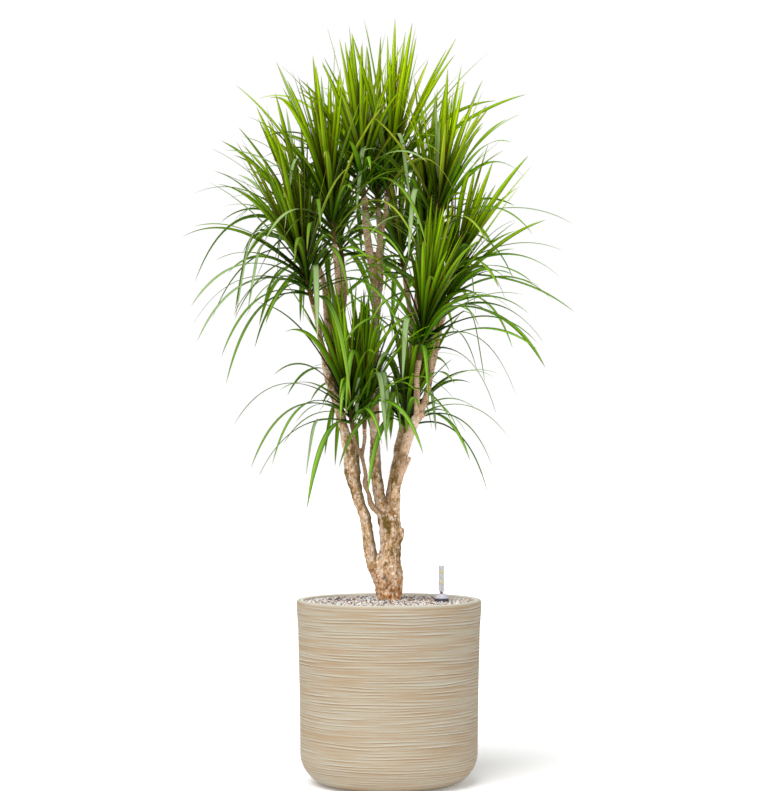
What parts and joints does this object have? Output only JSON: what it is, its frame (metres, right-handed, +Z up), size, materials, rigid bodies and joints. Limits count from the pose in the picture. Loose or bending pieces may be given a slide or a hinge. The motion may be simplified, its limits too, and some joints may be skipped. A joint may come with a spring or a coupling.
{
  "type": "potted dracaena",
  "caption": "Potted dracaena: a stump dividing into bare canes with tufts of narrow arching leaves, in a round ribbed planter of mineral granules with a water level gauge.",
  "frame": {"origin": "centre of the planter's flat foot, on the surface that it stands on", "axes": "+Z up along the planter's axis; -Y is the front, as seen in the picture; +X is the side of the water gauge"},
  "size_m": [0.8552, 0.7808, 1.6607],
  "materials": {
    "planter": "matte",
    "granules": "matte",
    "root_ball": "matte",
    "bark": "matte",
    "leaf": "satin",
    "gauge_tube": "gloss",
    "gauge_ring": "matte",
    "float": "matte",
    "float_tip": "gloss",
    "gauge_collar": "gloss"
  },
  "bodies": {
    "planter": {"planter": "planter", "granules": "granules", "root_ball": "root_ball", "stump_and_canes": "bark", "leaves_top_middle": "leaf", "leaves_top_right": "leaf", "leaves_top_back": "leaf", "leaves_left_inner": "leaf", "leaves_left_outer": "leaf", "leaves_left_low": "leaf", "leaves_right_inner": "leaf", "leaves_right_back": "leaf", "leaves_right_outer": "leaf", "leaves_middle_front": "leaf", "leaves_middle_right": "leaf", "leaves_low_left": "leaf", "leaves_low_middle": "leaf", "leaves_low_right": "leaf", "leaves_back_left": "leaf", "leaves_back_right": "leaf", "gauge_tube": "gauge_tube", "gauge_plug": "gauge_ring", "gauge_ring": "gauge_ring", "gauge_collar": "gauge_collar"},
    "float": {"gauge_float": "float", "gauge_tip": "float_tip"}
  },
  "joints": [
    {"name": "float_rise", "type": "slide", "parent": "planter", "child": "float", "axis": [0, 0, 1], "range_m": [0, 0.044]}
  ]
}
